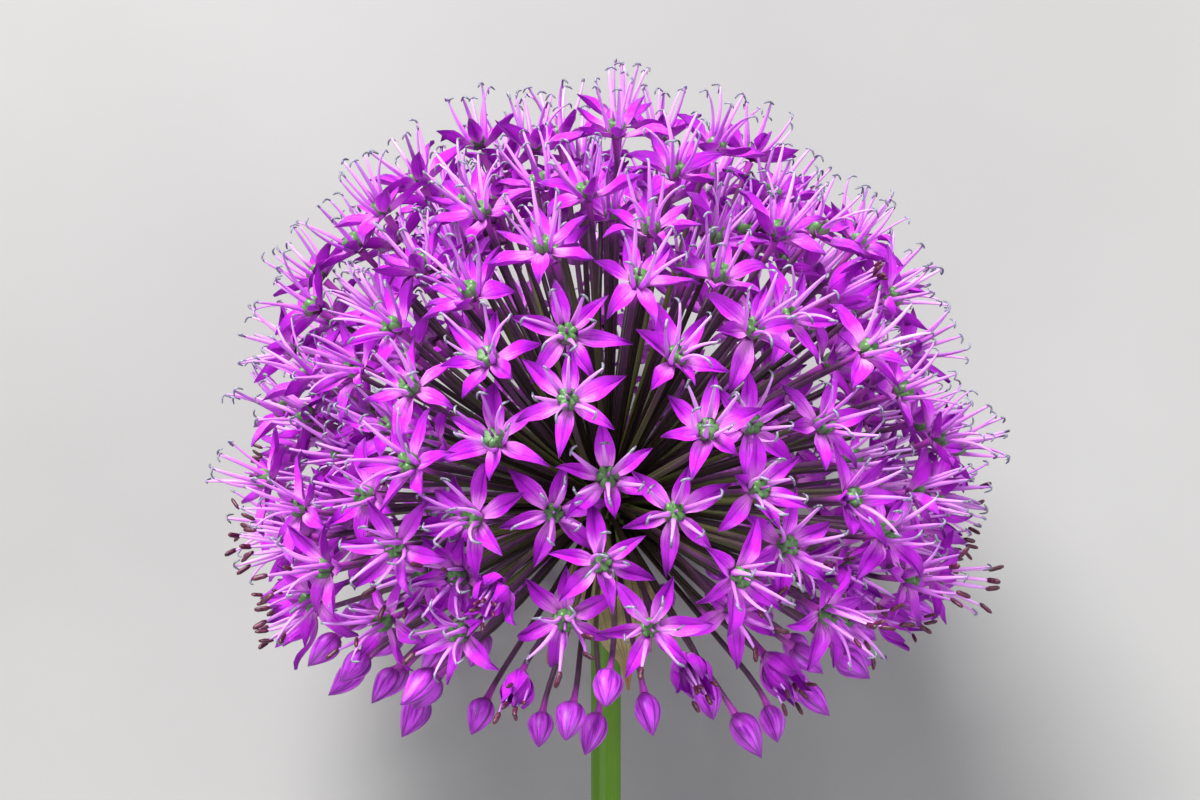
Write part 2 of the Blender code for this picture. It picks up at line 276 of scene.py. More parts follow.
def plain_mesh(carrier):
    """The mesh that an object's modifiers make of it. The object and its modifiers go."""
    mesh = bpy.data.meshes.new_from_object(carrier.evaluated_get(bpy.context.evaluated_depsgraph_get()))
    mesh.name = carrier.name
    carrier.modifiers.clear()
    bpy.data.objects.remove(carrier)
    return mesh


def solid_sheet(bm, name, thickness):
    """Gives an open sheet its thickness and returns the closed mesh."""
    sheet = stood(name, mesh_of(bm, name))
    wall = sheet.modifiers.new("wall", "SOLIDIFY")
    wall.thickness = thickness
    wall.offset = 0.0
    mesh = plain_mesh(sheet)
    mesh.shade_smooth()
    mesh.set_sharp_from_angle(angle=math.radians(60.0))
    return mesh


def grid(across, along):
    """A flat sheet that runs from -1 to 1 across and 0 to 1 along, with both as layers."""
    bm = bmesh.new()
    bmesh.ops.create_grid(bm, x_segments=across, y_segments=along, size=1.0)
    side = bm.verts.layers.float.new("across")
    way = bm.verts.layers.float.new("along")
    for vert in bm.verts:
        vert[side] = vert.co.x
        vert[way] = 0.5 * (vert.co.y + 1.0)
    for face in bm.faces:
        face.smooth = True
    return bm, side, way


SPATHE_THICKNESS = 0.16 * MM
SPATHE_TIP = 0.80
SPATHE_ROOT_OUT = 3.0 * MM
SPATHE_ROOT_DOWN = 5.6 * MM
SPATHE_LEAST_HALF = 0.12 * MM
FIRST_VALVE_TURN = -75.0


def spathe_valve(number, length, width, rng):
    """One boat-shaped valve with a crumpled edge and a long dry tip."""
    bm, side, way = grid(16, 30)
    ruffle = [rng.uniform(0.0, 6.3) for _ in range(4)]
    for vert in bm.verts:
        u, v = vert[side], vert[way]
        half = 0.5 * width * (0.20 + 0.80 * math.sin(math.pi * min(1.0, 1.12 * v + 0.10)) ** 0.75)
        if v > SPATHE_TIP:
            half *= 1.0 - ((v - SPATHE_TIP) / (1.0 - SPATHE_TIP)) ** 1.3
        half = max(half, SPATHE_LEAST_HALF)
        lean = math.radians(31.0 - 15.0 * v)
        out = SPATHE_ROOT_OUT + v * length * math.sin(lean)
        down = SPATHE_ROOT_DOWN + v * length * math.cos(lean)
        boat = 1.3 * MM * u * u * math.sin(math.pi * min(1.0, v + 0.15))
        crumple = 0.25 * MM * math.sin(9.0 * v + ruffle[0]) * abs(u) ** 2
        crumple += 0.16 * MM * math.sin(21.0 * v + ruffle[1] + 2.0 * u) * abs(u)
        crumple += 0.10 * MM * math.sin(6.0 * u + ruffle[2]) * v
        sway = 0.9 * MM * math.sin(2.2 * v + ruffle[3]) * v
        vert.co = (out - boat + crumple, u * half + sway, -down)
    bm.transform(LAY @ Matrix.Rotation(math.radians(FIRST_VALVE_TURN + 120.0 * number), 4, "Z"))
    return solid_sheet(bm, f"spathe_{number + 1}", SPATHE_THICKNESS)


look, sap, shader = finish_of("dry_spathe", roughness=0.62, soft=0.35, soft_depth=0.8 * MM, gloss=0.3)
along, across = sap.facts("along", "across")
mottle = sap.noise(260.0, 4.0, 0.6)
spread = across * 5.0 + (mottle - 0.5) * 0.5
veins = (spread * math.tau).math("SINE", spread * math.tau)
fine = sap.noise(1.0, 4.0, where=sap.xyz(across * 14.0, along * 2.0))
papery = (mottle.step(0.30, 0.70) * 0.7 + fine * 0.3).blend((0.17, 0.155, 0.050), (0.42, 0.38, 0.19))
papery = (veins.step(0.80, 1.0) * 0.7).blend(papery, (0.13, 0.075, 0.030))
papery = (across.size().step(0.80, 1.0) * 0.6).blend(papery, (0.42, 0.27, 0.16))
papery = (along + (mottle - 0.5) * 0.3).step(0.70, 0.95).blend(papery, (0.30, 0.16, 0.085))
feed(shader, Base_Color=papery, Roughness=mottle * 0.3 + 0.45,
     Normal=(veins * 0.3 + fine + mottle).bump(0.6, 0.12 * MM))
rng = random.Random(5)
for number, (length, width) in enumerate(((19.0, 9.4), (17.0, 8.6), (18.0, 9.0))):
    mesh = spathe_valve(number, length * MM, width * MM, rng)
    mesh.materials.append(look)
    add_piece(f"spathe_{number + 1}", mesh, "spathe_tan", f"spathe_valve_{number + 1}")

# ------------------------------------------------------------
# The umbel's plan: open florets spread evenly over a ball that is open round the
# stem, each turned and shifted on its stalk to keep clear of its neighbours. More
# stand set back in the gaps, and half-open ones and buds nod round the low rim.
# ------------------------------------------------------------

FLORETS = 222
BUDS = 44
HALF_OPEN = 14
LATE = 6
UMBEL_LIMIT = math.radians(134.0)
SIDE_RADIUS = 43.0 * MM
TOP_RADIUS = 49.3 * MM
RIM_RADIUS = 34.5 * MM
SPACING = 0.216
RIM_SHAKE = math.radians(17.0)
THIN_SPOT = numpy.array((0.09, -0.90, 0.43))
THIN_SPOT_RADIUS = 0.19
TEPAL_LENGTH = 6.4 * MM
TEPAL_WIDTH = 2.3 * MM
STAMEN_LENGTH = 8.2 * MM
BUD_LENGTH = 5.8 * MM
BUD_RADIUS = 2.0 * MM
NEIGHBOURS_WITHIN = 0.42
CLEARANCE = 1.6 * MM
TOO_NEAR = 0.90 * MM
SMALLEST = 0.60
SET_BACK = 64
SET_BACK_LOWEST = -0.10
SET_BACK_SWAY = 0.08
THIN_SIDE = 0.55
NOD = {"bud": 0.36, "half": 0.22}
GOLDEN_TURN = math.pi * (3.0 - math.sqrt(5.0))
PUSHES = 30
STALK_SWAY = 0.14
UPTURN = 0.10
UPWARD = numpy.array((0.0, -math.cos(LEAN), math.sin(LEAN)))


def unit(vector):
    return vector / numpy.linalg.norm(vector)


def swayed(direction, sway, rng):
    """A direction moved a little at random, as stalks sway. Its length isn't one any more."""
    return direction + sway * numpy.array([rng.gauss(0.0, 1.0) for _ in range(3)])


def directions(rng):
    """Even directions over the open ball, shaken and then pushed apart, with one thin spot."""
    cap = 1.0 - math.cos(UMBEL_LIMIT)
    points = []
    for i in range(FLORETS):
        polar = math.acos(1.0 - cap * (i + 0.5) / FLORETS) + rng.gauss(0.0, 0.05)
        turn = i * GOLDEN_TURN + rng.gauss(0.0, 0.06)
        ring = math.sin(polar)
        points.append((ring * math.cos(turn), ring * math.sin(turn), math.cos(polar)))
    points = numpy.array(points)
    lowest = numpy.array([math.cos(UMBEL_LIMIT - rng.uniform(0.0, RIM_SHAKE)) for _ in range(FLORETS)])
    for _ in range(PUSHES):
        away = points[:, None] - points[None, :]
        apart = numpy.linalg.norm(away, axis=2) + 9.0 * numpy.eye(FLORETS)
        push = numpy.maximum(0.0, SPACING - apart) / apart
        points += 0.35 * (away * push[:, :, None]).sum(axis=1)
        off = points - unit(THIN_SPOT)
        gap = numpy.linalg.norm(off, axis=1)
        points += 0.5 * off * (numpy.maximum(0.0, THIN_SPOT_RADIUS - gap) / gap)[:, None]
        points /= numpy.linalg.norm(points, axis=1)[:, None]
        points[:, 2] = numpy.maximum(points[:, 2], lowest)
        flat = numpy.sqrt(1.0 - points[:, 2] ** 2) / numpy.linalg.norm(points[:, :2], axis=1)
        points[:, :2] *= flat[:, None]
    return points


def stance(axis):
    """Rows: two directions square to an axis, then the axis."""
    other = (1.0, 0.0, 0.0) if abs(axis[0]) < 0.9 else (0.0, 1.0, 0.0)
    side = unit(numpy.cross(axis, other))
    return numpy.array((side, numpy.cross(axis, side), axis))


def tepal_line(floret, part):
    """Distance out and height, in a floret's own frame, at a part of a tepal's length."""
    bend = floret["opening"] + 0.10 - 0.20 * part
    length = floret["size"] * TEPAL_LENGTH * part
    return 0.6 * MM + length * math.sin(bend), 0.5 * MM + length * math.cos(bend)


def organ_points(floret):
    """Points along all organs of a floret, in its own frame before it is turned."""
    if floret["stage"] == "bud":
        points = [(0.0, 0.0, BUD_LENGTH)]
        for k in range(6):
            points.append(around(k * math.pi / 3, 0.9 * BUD_RADIUS, 0.25 * BUD_LENGTH))
            points.append(around(k * math.pi / 3, 0.9 * BUD_RADIUS, 0.60 * BUD_LENGTH))
        return numpy.array(points)
    points = [(0.0, 0.0, 0.8 * MM), (0.0, 0.0, 2.6 * MM)]
    for k in range(6):
        turn = k * math.pi / 3
        for part in (0.3, 0.5, 0.7, 0.85, 1.0):
            out, up = tepal_line(floret, part)
            points.append(around(turn, out, up))
            half = 0.5 * TEPAL_WIDTH * (1.0 - abs(part - 0.45) / 0.55)
            if part < 0.8:
                edge = math.atan2(half, out)
                points.append(around(turn + edge, math.hypot(out, half), up))
                points.append(around(turn - edge, math.hypot(out, half), up))
        for part in (0.3, 0.5, 0.7, 0.85, 1.0):
            length = floret["size"] * STAMEN_LENGTH * part
            out = 0.4 * MM + length * math.sin(floret["spread"])
            points.append(around(turn + math.pi / 6, out, 1.1 * MM + length * math.cos(floret["spread"])))
    return numpy.array(points)


def turned(points, turn):
    c, s = math.cos(turn), math.sin(turn)
    return points @ numpy.array(((c, s, 0.0), (-s, c, 0.0), (0.0, 0.0, 1.0)))


def settle(floret, turn, depth):
    """Sets a floret's turn and depth; one that would reach below the surface is drawn in."""
    floret["turn"] = turn
    floret["depth"] = depth
    spread = turned(organ_points(floret), turn) @ floret["stance"]
    radius = floret["radius"] + depth
    fall = -float(floret["direction"] @ UPWARD)
    if fall > 0.0:
        radius = min(radius, (HUB_HEIGHT + float((spread @ UPWARD).min())) / fall)
    floret["base"] = radius * floret["direction"]
    floret["points"] = spread + floret["base"]


def nearest(floret, others):
    """Distances from a floret's organs to those of its neighbours."""
    mine = floret["points"]
    square = (mine ** 2).sum(axis=1)[:, None] + (others ** 2).sum(axis=1)[None, :]
    return numpy.sqrt(numpy.maximum(0.0, square - 2.0 * mine @ others.T))


def stalk_reach(direction):
    """How far out a floret stands: the umbel is a little tall, and drawn in round its lower rim."""
    up = direction[2]
    if up > 0.0:
        level = math.sqrt(1.0 - up * up)
        return SIDE_RADIUS * TOP_RADIUS / math.hypot(up * SIDE_RADIUS, level * TOP_RADIUS)
    low = max(0.0, (-0.17 - up) / (-0.17 - math.cos(UMBEL_LIMIT)))
    return SIDE_RADIUS + (RIM_RADIUS - SIDE_RADIUS) * low


def umbel():
    """All florets, each with its stage, direction, depth and turn about its own stalk."""
    rng = random.Random(11)
    points = directions(rng)
    low = sorted(range(FLORETS), key=lambda i: points[i][2] + rng.gauss(0.0, 0.04))
    stages = {}
    for rank, i in enumerate(low):
        stages[i] = "bud" if rank < BUDS else "half" if rank < BUDS + HALF_OPEN else "open"
    for i in rng.sample(low[BUDS + HALF_OPEN:FLORETS - 20], LATE):
        stages[i] = "half"
    florets = []
    for i in range(FLORETS):
        direction = points[i]
        radius = stalk_reach(direction)
        axis = swayed(direction, STALK_SWAY, rng)
        axis[2] += UPTURN
        stage = stages[i]
        floret = {"stage": stage, "direction": direction, "stance": stance(unit(axis)), "size": 1.0}
        floret["radius"] = radius + rng.uniform(-2.6, 1.6) * MM
        opening = rng.uniform(54.0, 74.0) + 9.0 * (1.0 - direction[2])
        floret["opening"] = math.radians(opening if stage == "open" else 32.0)
        floret["spread"] = math.radians(rng.uniform(15.0, 27.0) if stage == "open" else 9.0)
        settle(floret, rng.uniform(0.0, math.pi / 3), 0.0)
        florets.append(floret)
    return clear_florets(florets, points)


def clear_florets(florets, points):
    """Turns each floret and shifts it along its stalk to where it is clearest of its neighbours.

    One that stays too near another is then made a little smaller.
    """
    apart = numpy.linalg.norm(points[:, None] - points[None, :], axis=2)
    close = apart < NEIGHBOURS_WITHIN
    beside = [[j for j in numpy.nonzero(close[i])[0] if j != i] for i in range(FLORETS)]
    for _ in range(3):
        for i, floret in enumerate(florets):
            others = numpy.concatenate([florets[j]["points"] for j in beside[i]])
            best = None
            for depth in (0.0, -2.0 * MM, 2.0 * MM, -4.0 * MM):
                for step in range(6):
                    settle(floret, step * math.pi / 18, depth)
                    near = numpy.maximum(0.0, CLEARANCE - nearest(floret, others))
                    cost = float((near ** 2).sum()) + 0.2 * MM ** 2 * (depth != 0.0)
                    if best is None or cost < best[0]:
                        best = (cost, floret["turn"], depth)
            settle(floret, best[1], best[2])
    for i, floret in enumerate(florets):
        others = numpy.concatenate([florets[j]["points"] for j in beside[i]])
        while floret["size"] > SMALLEST and nearest(floret, others).min() < TOO_NEAR:
            floret["size"] -= 0.04
            settle(floret, floret["turn"], floret["depth"])
    return florets


def set_back(florets, rng):
    """Open florets on shorter stalks, in the widest gaps between the others, away from the thin spot."""
    sought = numpy.array([[rng.gauss(0.0, 1.0) for _ in range(3)] for _ in range(3000)])
    sought /= numpy.linalg.norm(sought, axis=1)[:, None]
    off_thin_side = numpy.linalg.norm(sought - unit(THIN_SPOT), axis=1) > THIN_SIDE
    sought = sought[(sought[:, 2] > SET_BACK_LOWEST) & off_thin_side]
    taken = numpy.array([floret["direction"] for floret in florets])
    found = []
    for _ in range(SET_BACK):
        room = numpy.linalg.norm(sought[:, None] - taken[None, :], axis=2).min(axis=1)
        direction = sought[room.argmax()]
        taken = numpy.append(taken, [direction], axis=0)
        axis = unit(swayed(direction, SET_BACK_SWAY, rng))
        floret = {"stage": "open", "direction": direction, "stance": stance(axis)}
        floret["size"] = rng.uniform(0.86, 1.0)
        floret["radius"] = stalk_reach(direction) - rng.uniform(5.5, 9.0) * MM
        floret["opening"] = math.radians(rng.uniform(48.0, 64.0))
        floret["spread"] = math.radians(rng.uniform(11.0, 20.0))
        settle(floret, rng.uniform(0.0, math.pi / 3), 0.0)
        found.append(floret)
    return found


florets = umbel()
florets += set_back(florets, random.Random(19))
rng = random.Random(23)
for floret in florets:
    if floret["stage"] != "open":
        hanging = floret["stance"][2] - (0.0, 0.0, NOD[floret["stage"]])
        floret["stance"] = stance(unit(hanging))
    upright = Matrix([[*row] for row in floret["stance"]]).transposed()
    floret["facing"] = (LAY.to_3x3() @ upright).to_quaternion()
    floret["base_laid"] = LAY @ Vector(floret["base"])
    floret["tint"] = rng.random()


def floret_points(chosen):
    """One vertex for each chosen floret, at the foot of its tepals, with its facts as attributes."""
    mesh = bpy.data.meshes.new("florets")
    mesh.from_pydata([floret["base_laid"] for floret in chosen], [], [])
    facing = mesh.attributes.new("facing", "QUATERNION", "POINT")
    for entry, floret in zip(facing.data, chosen):
        entry.value = floret["facing"]
    for fact in ("turn", "opening", "spread", "size", "tint"):
        values = mesh.attributes.new(fact, "FLOAT", "POINT")
        for entry, floret in zip(values.data, chosen):
            entry.value = floret[fact]
    return mesh


open_florets = [floret for floret in florets if floret["stage"] == "open"]
half_florets = [floret for floret in florets if floret["stage"] == "half"]
bud_florets = [floret for floret in florets if floret["stage"] == "bud"]

# ------------------------------------------------------------
# Pedicels: a slender stalk for each floret, purple-brown with an olive foot that is
# darkened nearly to black as painted shade inside the head.
# They crowd the knob, bow a little on the way out, and swell under the floret.
# ------------------------------------------------------------


def new_tree(name, inputs):
    """A geometry tree with named inputs, and the socket of each input."""
    tree = bpy.data.node_groups.new(name, "GeometryNodeTree")
    tree.interface.new_socket("Geometry", in_out="OUTPUT", socket_type="NodeSocketGeometry")
    for label, kind in [("Geometry", "Geometry"), *inputs]:
        tree.interface.new_socket(label, in_out="INPUT", socket_type="NodeSocket" + kind)
    entry = tree.nodes.new("NodeGroupInput")
    return tree, {socket.name: Sap(tree, socket) for socket in entry.outputs if socket.name}


def end_tree(result, material):
    """Realizes the tree's shapes, gives them their material and hands them out."""
    real = result.node("GeometryNodeRealizeInstances", {}, {"Geometry": result})
    made = real.node("GeometryNodeSetMaterial", {}, {"Geometry": real, "Material": material})
    out = result.tree.nodes.new("NodeGroupOutput")
    result.tree.links.new(made.socket, out.inputs["Geometry"])


PRESSED_BELOW = 0.4 * MM
PRESSED_FALL = 1.2 * MM


def keep_off_surface(mesh):
    """Presses whatever would dip into the surface flat against it, keeping its order and walls."""
    places = numpy.empty(len(mesh.vertices) * 3)
    mesh.vertices.foreach_get("co", places)
    height = places[2::3]
    low = height < PRESSED_BELOW
    height[low] = PRESSED_BELOW * numpy.exp((height[low] - PRESSED_BELOW) / PRESSED_FALL)
    mesh.vertices.foreach_set("co", places)
    mesh.update()


def grown(name, mesh, tree, **values):
    """The plain mesh that a tree makes from a mesh. Its inputs are set by their labels, _ for a space."""
    carrier = stood(name, mesh)
    growth = carrier.modifiers.new("growth", "NODES")
    growth.node_group = tree
    for item in tree.interface.items_tree:
        label = item.name.replace(" ", "_")
        if item.item_type == "SOCKET" and item.in_out == "INPUT" and label in values:
            growth[item.identifier] = values[label]
    result = plain_mesh(carrier)
    keep_off_surface(result)
    return result


stalk_tree, entry = new_tree("stalks_along_lines", [("Sides", "Int"), ("Material", "Material")])
line = entry["Geometry"].node("GeometryNodeMeshToCurve", {}, {"Mesh": entry["Geometry"]})
girth = line.node("GeometryNodeInputNamedAttribute", {"data_type": "FLOAT"}, {"Name": "girth"})
round_of = line.node("GeometryNodeCurvePrimitiveCircle", {"mode": "RADIUS"},
                     {"Resolution": entry["Sides"], "Radius": 1.0})
tube = line.node("GeometryNodeCurveToMesh", {}, {"Curve": line, "Profile Curve": round_of, "Scale": girth,
                                                 "Fill Caps": True})
smooth = tube.node("GeometryNodeSetShadeSmooth", {}, {"Geometry": tube})
end_tree(smooth, entry["Material"])

STALK_SIDES = 6
STALK_HALF = 0.37
STALK_START = 4.7 * MM
STALK_BOW = 0.9


def stalk_lines(chosen, rng):
    """Lines from the knob to the florets, with each point's girth and its part of the way."""
    places, edges, girths, parts, tints = [], [], [], [], []
    for floret in chosen:
        way = Vector(floret["direction"])
        base = Vector(floret["base"])
        axis = Vector(floret["stance"][2])
        start = way * STALK_START
        nod = (way - axis) * (base - start).length
        bow = way.orthogonal().normalized() * rng.uniform(-STALK_BOW, STALK_BOW) * MM
        bow += way.cross(bow).normalized() * rng.uniform(-STALK_BOW, STALK_BOW) * MM
        for part in (0.0, 0.12, 0.26, 0.42, 0.58, 0.72, 0.84, 0.92, 0.97, 1.0):
            place = start.lerp(base, part) + bow * math.sin(math.pi * part) ** 1.2
            place += nod * part ** 6 * (1.0 - part)
            swell = 0.20 * max(0.0, (part - 0.93) / 0.07) ** 2 + 0.10 * max(0.0, 0.12 - part) / 0.12
            if part:
                edges.append((len(places) - 1, len(places)))
            places.append(LAY @ place)
            girths.append((STALK_HALF + swell) * MM)
            parts.append(part)
            tints.append(floret["tint"])
    mesh = bpy.data.meshes.new("stalk_lines")
    mesh.from_pydata(places, edges, [])
    for name, values in (("girth", girths), ("along", parts), ("tint", tints)):
        mesh.attributes.new(name, "FLOAT", "POINT").data.foreach_set("value", values)
    return mesh


look, sap, shader = finish_of("pedicel_skin", roughness=0.45, soft=0.05, gloss=0.28)
along, tint = sap.facts("along", "tint")
speck = sap.noise(900.0, 2.0)
# The olive foot is the stalks' own colour darkened nearly to black: painted shade deep inside the head.
olive_in_painted_shade = (speck * 0.8).blend((0.008, 0.004, 0.003), (0.030, 0.018, 0.010))
mauve = (speck * 0.7 + tint * 0.3).blend((0.040, 0.010, 0.038), (0.16, 0.055, 0.16))
stalk = (along + tint * 0.5 - 0.25).step(0.25, 0.95).blend(olive_in_painted_shade, mauve)
pale = (tint * 7.0).math("FRACT", tint * 7.0)
stalk = (pale.step(0.76, 0.84) * (1.0 - along.step(0.5, 0.9)) * 0.6).blend(stalk, (0.15, 0.17, 0.045))
stalk = along.step(0.90, 0.99).blend(stalk, (0.42, 0.045, 0.44))
feed(shader, Base_Color=stalk, Roughness=speck * 0.25 + 0.32)
cymes = [node for node in frame["nodes"] if node.startswith("cyme_")]
mesh = grown("pedicels", stalk_lines(florets, rng), stalk_tree, Sides=STALK_SIDES, Material=look)
add_piece("pedicels", mesh, "floret_purple", *cymes)

# ------------------------------------------------------------
# Tepals: six to a floret in two whorls of three, narrow at the foot, broadest
# at the middle and pointed, hollowed along a dark midvein. They are pale at
# the foot, where a painted highlight is added to their own paler colour, and
# deep magenta-purple at the tip; old ones curl.
# ------------------------------------------------------------

BROADEST = 0.44
TEPAL_THICKNESS = 0.16 * MM
OUTER_TEPAL = (6.8 * MM, 2.45 * MM)
INNER_TEPAL = (6.5 * MM, 2.15 * MM)


def blade(length, width, bend, curl, hollow, twist, sweep, rng, foot=0.30, ease=1.0, parts=7):
    """One tepal that stands on the origin and bends outwards to +X, thick only inside its edge."""
    bm, side, way = grid(4, parts)
    ripple = rng.uniform(0.0, 6.3)
    spine = []
    x = z = 0.0
    for k in range(parts + 1):
        part = k / parts
        angle = bend * (1.0 - (1.0 - part) ** ease) + curl * max(0.0, (part - 0.55) / 0.45) ** 2
        spine.append((x, z, angle))
        x += length / parts * math.sin(angle)
        z += length / parts * math.cos(angle)
    for vert in bm.verts:
        u, v = vert[side], vert[way]
        x, z, angle = spine[round(v * parts)]
        if v < BROADEST:
            half = foot + (1.0 - foot) * math.sin(0.5 * math.pi * v / BROADEST) ** 1.3
        else:
            half = 1.0 - 0.97 * ((v - BROADEST) / (1.0 - BROADEST)) ** 1.9
        half *= 0.5 * width
        rolled = hollow * (0.6 + 0.4 * math.sin(math.pi * v)) + 0.30 * max(0.0, v - 0.72)
        lift = rolled * width * abs(u) ** 1.3 * min(1.0, 2.0 * half / width + 0.25)
        lift += 0.10 * width * math.sin(8.0 * v + ripple + 1.5 * u) * u
        lift += 0.04 * width * math.sin(5.0 * v + 2.0 * ripple)
        across = u * half
        y = across * math.cos(twist * v) + sweep * length * v * v
        lift += across * math.sin(twist * v)
        vert.co = (x - lift * math.cos(angle), y, z + lift * math.sin(angle))
    bm.normal_update()
    under = {}
    for vert in list(bm.verts):
        under[vert] = vert
        if not vert.is_boundary:
            under[vert] = bm.verts.new(vert.co - vert.normal * TEPAL_THICKNESS)
            under[vert][side] = vert[side]
            under[vert][way] = vert[way]
    for face in list(bm.faces):
        bm.faces.new([under[vert] for vert in reversed(face.verts)]).smooth = True
    mesh = mesh_of(bm, "blade")
    mesh.set_sharp_from_angle(angle=math.radians(70.0))
    return mesh


whorl_tree, entry = new_tree("whorl_on_each_floret", [
    ("Shapes", "Collection"), ("Kinds", "Int"), ("Count", "Int"), ("First Turn", "Float"),
    ("Turn Shake", "Float"), ("Tilt Name", "String"), ("Tilt Shake", "Float"), ("Tilt Offset", "Float"),
    ("Out", "Float"), ("Up", "Float"), ("Size Shake", "Float"), ("Seed", "Int"), ("Material", "Material")])
ring = entry["Geometry"].node("GeometryNodeDuplicateElements", {"domain": "POINT"},
                              {"Geometry": entry["Geometry"], "Amount": entry["Count"]})


def floret_fact(name, kind="FLOAT"):
    return ring.node("GeometryNodeInputNamedAttribute", {"data_type": kind}, {"Name": name})


def shake(seed_step, amount):
    """A random value round nought, of its own for each organ."""
    span = {2: -1.0, 3: 1.0, "Seed": entry["Seed"] + float(seed_step)}
    return ring.node("FunctionNodeRandomValue", {"data_type": "FLOAT"}, span, out=1) * amount


turn = ring.beside("Duplicate Index") * entry["Count"].math("DIVIDE", math.tau, entry["Count"])
turn = turn + entry["First Turn"] + floret_fact("turn") + shake(1, entry["Turn Shake"])
tilt = floret_fact(entry["Tilt Name"]) + entry["Tilt Offset"] + shake(2, entry["Tilt Shake"])
facing = floret_fact("facing", "QUATERNION")
spin = ring.node("FunctionNodeEulerToRotation", {}, {0: ring.xyz(z=turn)})
tip_over = ring.node("FunctionNodeEulerToRotation", {}, {0: ring.xyz(y=tilt)})
upright = ring.node("FunctionNodeRotateRotation", {"rotation_space": "LOCAL"}, {0: facing, 1: spin})
leaning = ring.node("FunctionNodeRotateRotation", {"rotation_space": "LOCAL"}, {0: upright, 1: tip_over})
foot = ring.node("FunctionNodeRotateVector", {}, {0: ring.xyz(entry["Out"], z=entry["Up"]), 1: upright})
ring_moved = ring.node("GeometryNodeSetPosition", {}, {"Geometry": ring, "Offset": foot})
shapes = ring.node("GeometryNodeCollectionInfo", {"transform_space": "ORIGINAL"},
                   {"Collection": entry["Shapes"], "Separate Children": True, "Reset Children": True})
kind = ring.node("FunctionNodeRandomValue", {"data_type": "INT"},
                 {4: 0, 5: entry["Kinds"] - 1.0, "Seed": entry["Seed"]}, out=2)
size = floret_fact("size") * (1.0 + shake(3, entry["Size Shake"]))
organs = ring.node("GeometryNodeInstanceOnPoints", {},
                   {"Points": ring_moved, "Instance": shapes, "Pick Instance": True,
                    "Instance Index": kind, "Rotation": leaning, "Scale": size})
own = ring.node("FunctionNodeRandomValue", {"data_type": "FLOAT"}, {2: 0.0, 3: 1.0, "Seed": 91}, out=1)
organs = ring.node("GeometryNodeStoreNamedAttribute", {"data_type": "FLOAT", "domain": "INSTANCE"},
                   {"Geometry": organs, "Name": "own", "Value": own})
end_tree(organs, entry["Material"])


def whorls(name, chosen, shapes, look, slot, stands_for, **values):
    """Stands a whorl of organs, picked from the shapes, on each chosen floret, and shows the piece."""
    shelf = bpy.data.collections.new(name + "_shapes")
    for k, shape in enumerate(shapes):
        shelf.objects.link(bpy.data.objects.new(f"{name}_shape_{k}", shape))
    values = {"Count": 1, "First_Turn": 0.0, "Tilt_Name": "none", "Tilt_Offset": 0.0, "Out": 0.0, **values}
    mesh = grown(name, floret_points(chosen), whorl_tree, Shapes=shelf, Kinds=len(shapes), Material=look,
                 **values)
    for shape in list(shelf.objects):
        bpy.data.objects.remove(shape)
    bpy.data.collections.remove(shelf)
    add_piece(name, mesh, slot, *stands_for)


tepal_look, sap, shader = finish_of("tepal_skin", roughness=0.4, sheen=0.03, soft=0.10,
                                    soft_depth=0.5 * MM, gloss=0.30)
shader.inputs["Subsurface Radius"].default_value = (1.0, 0.25, 0.9)
shader.inputs["Sheen Roughness"].default_value = 0.4
along, across, tint, own = sap.facts("along", "across", "tint", "own")
deep_purple = (0.17, 0.003, 0.28)
streak = sap.noise(1.0, 5.0, 0.70, sap.xyz(across * 8.0, along * 1.1, own * 40.0 + tint * 60.0))
cloud = sap.noise(420.0, 2.0)
# The pale pinkish-white foot is partly the tepal's own paler base and partly a painted highlight.
painted_foot_highlight_fade = (along + (streak - 0.5) * 0.5 + (cloud - 0.5) * 0.4).step(0.10, 0.52)
petal = painted_foot_highlight_fade.blend((0.90, 0.27, 0.94), (0.58, 0.018, 0.76))
tip = (along + (streak - 0.5) * 0.4 + across.size() * 0.10).step(0.62, 1.05)
petal = (tip * 0.85).blend(petal, deep_purple)
vein = (1.0 - across.size().step(0.0, 0.22)) * along.step(0.10, 0.40) * 0.40
petal = (vein + streak.step(0.48, 0.70) * 0.48).blend(petal, deep_purple)
petal = (1.0 - along.step(0.02, 0.12)).blend(petal, (0.12, 0.004, 0.08))
shade = (own * 0.5 + tint * 0.5).blend((0.78, 0.80, 0.78), (1.12, 1.10, 1.10))
petal = sap.node("ShaderNodeMix", {"data_type": "RGBA", "blend_type": "MULTIPLY"},
                 {0: 1.0, 6: petal, 7: shade}, out=2)
feed(shader, Base_Color=petal, Roughness=streak * 0.35 + 0.18,
     Normal=(streak - vein * 0.8).bump(0.8, 0.16 * MM))

rng = random.Random(31)
outer_blades, inner_blades = [], []
for bend, curl, hollow, twist, sweep in (
        (-0.35, -0.3, 0.22, 0.15, 0.03), (-0.20, 0.4, 0.20, -0.35, -0.05), (-0.50, 0.2, 0.26, 0.3, 0.06),
        (0.10, 1.0, 0.18, 0.25, 0.0), (-0.30, -0.6, 0.28, -0.15, -0.08), (-0.10, 1.6, 0.22, -0.7, 0.10),
        (-0.45, 0.9, 0.30, 0.8, -0.03)):
    outer_blades.append(blade(*OUTER_TEPAL, bend, curl, hollow + 0.16, twist, sweep, rng))
    inner_blades.append(blade(*INNER_TEPAL, bend, curl, hollow + 0.18, -twist, sweep, rng))
whorls("tepals_outer", open_florets, outer_blades, tepal_look, "floret_purple", cymes, Count=3,
       Turn_Shake=0.12, Tilt_Name="opening", Tilt_Shake=0.23, Tilt_Offset=0.20,
       Out=0.55 * MM, Up=0.15 * MM, Size_Shake=0.08, Seed=3)
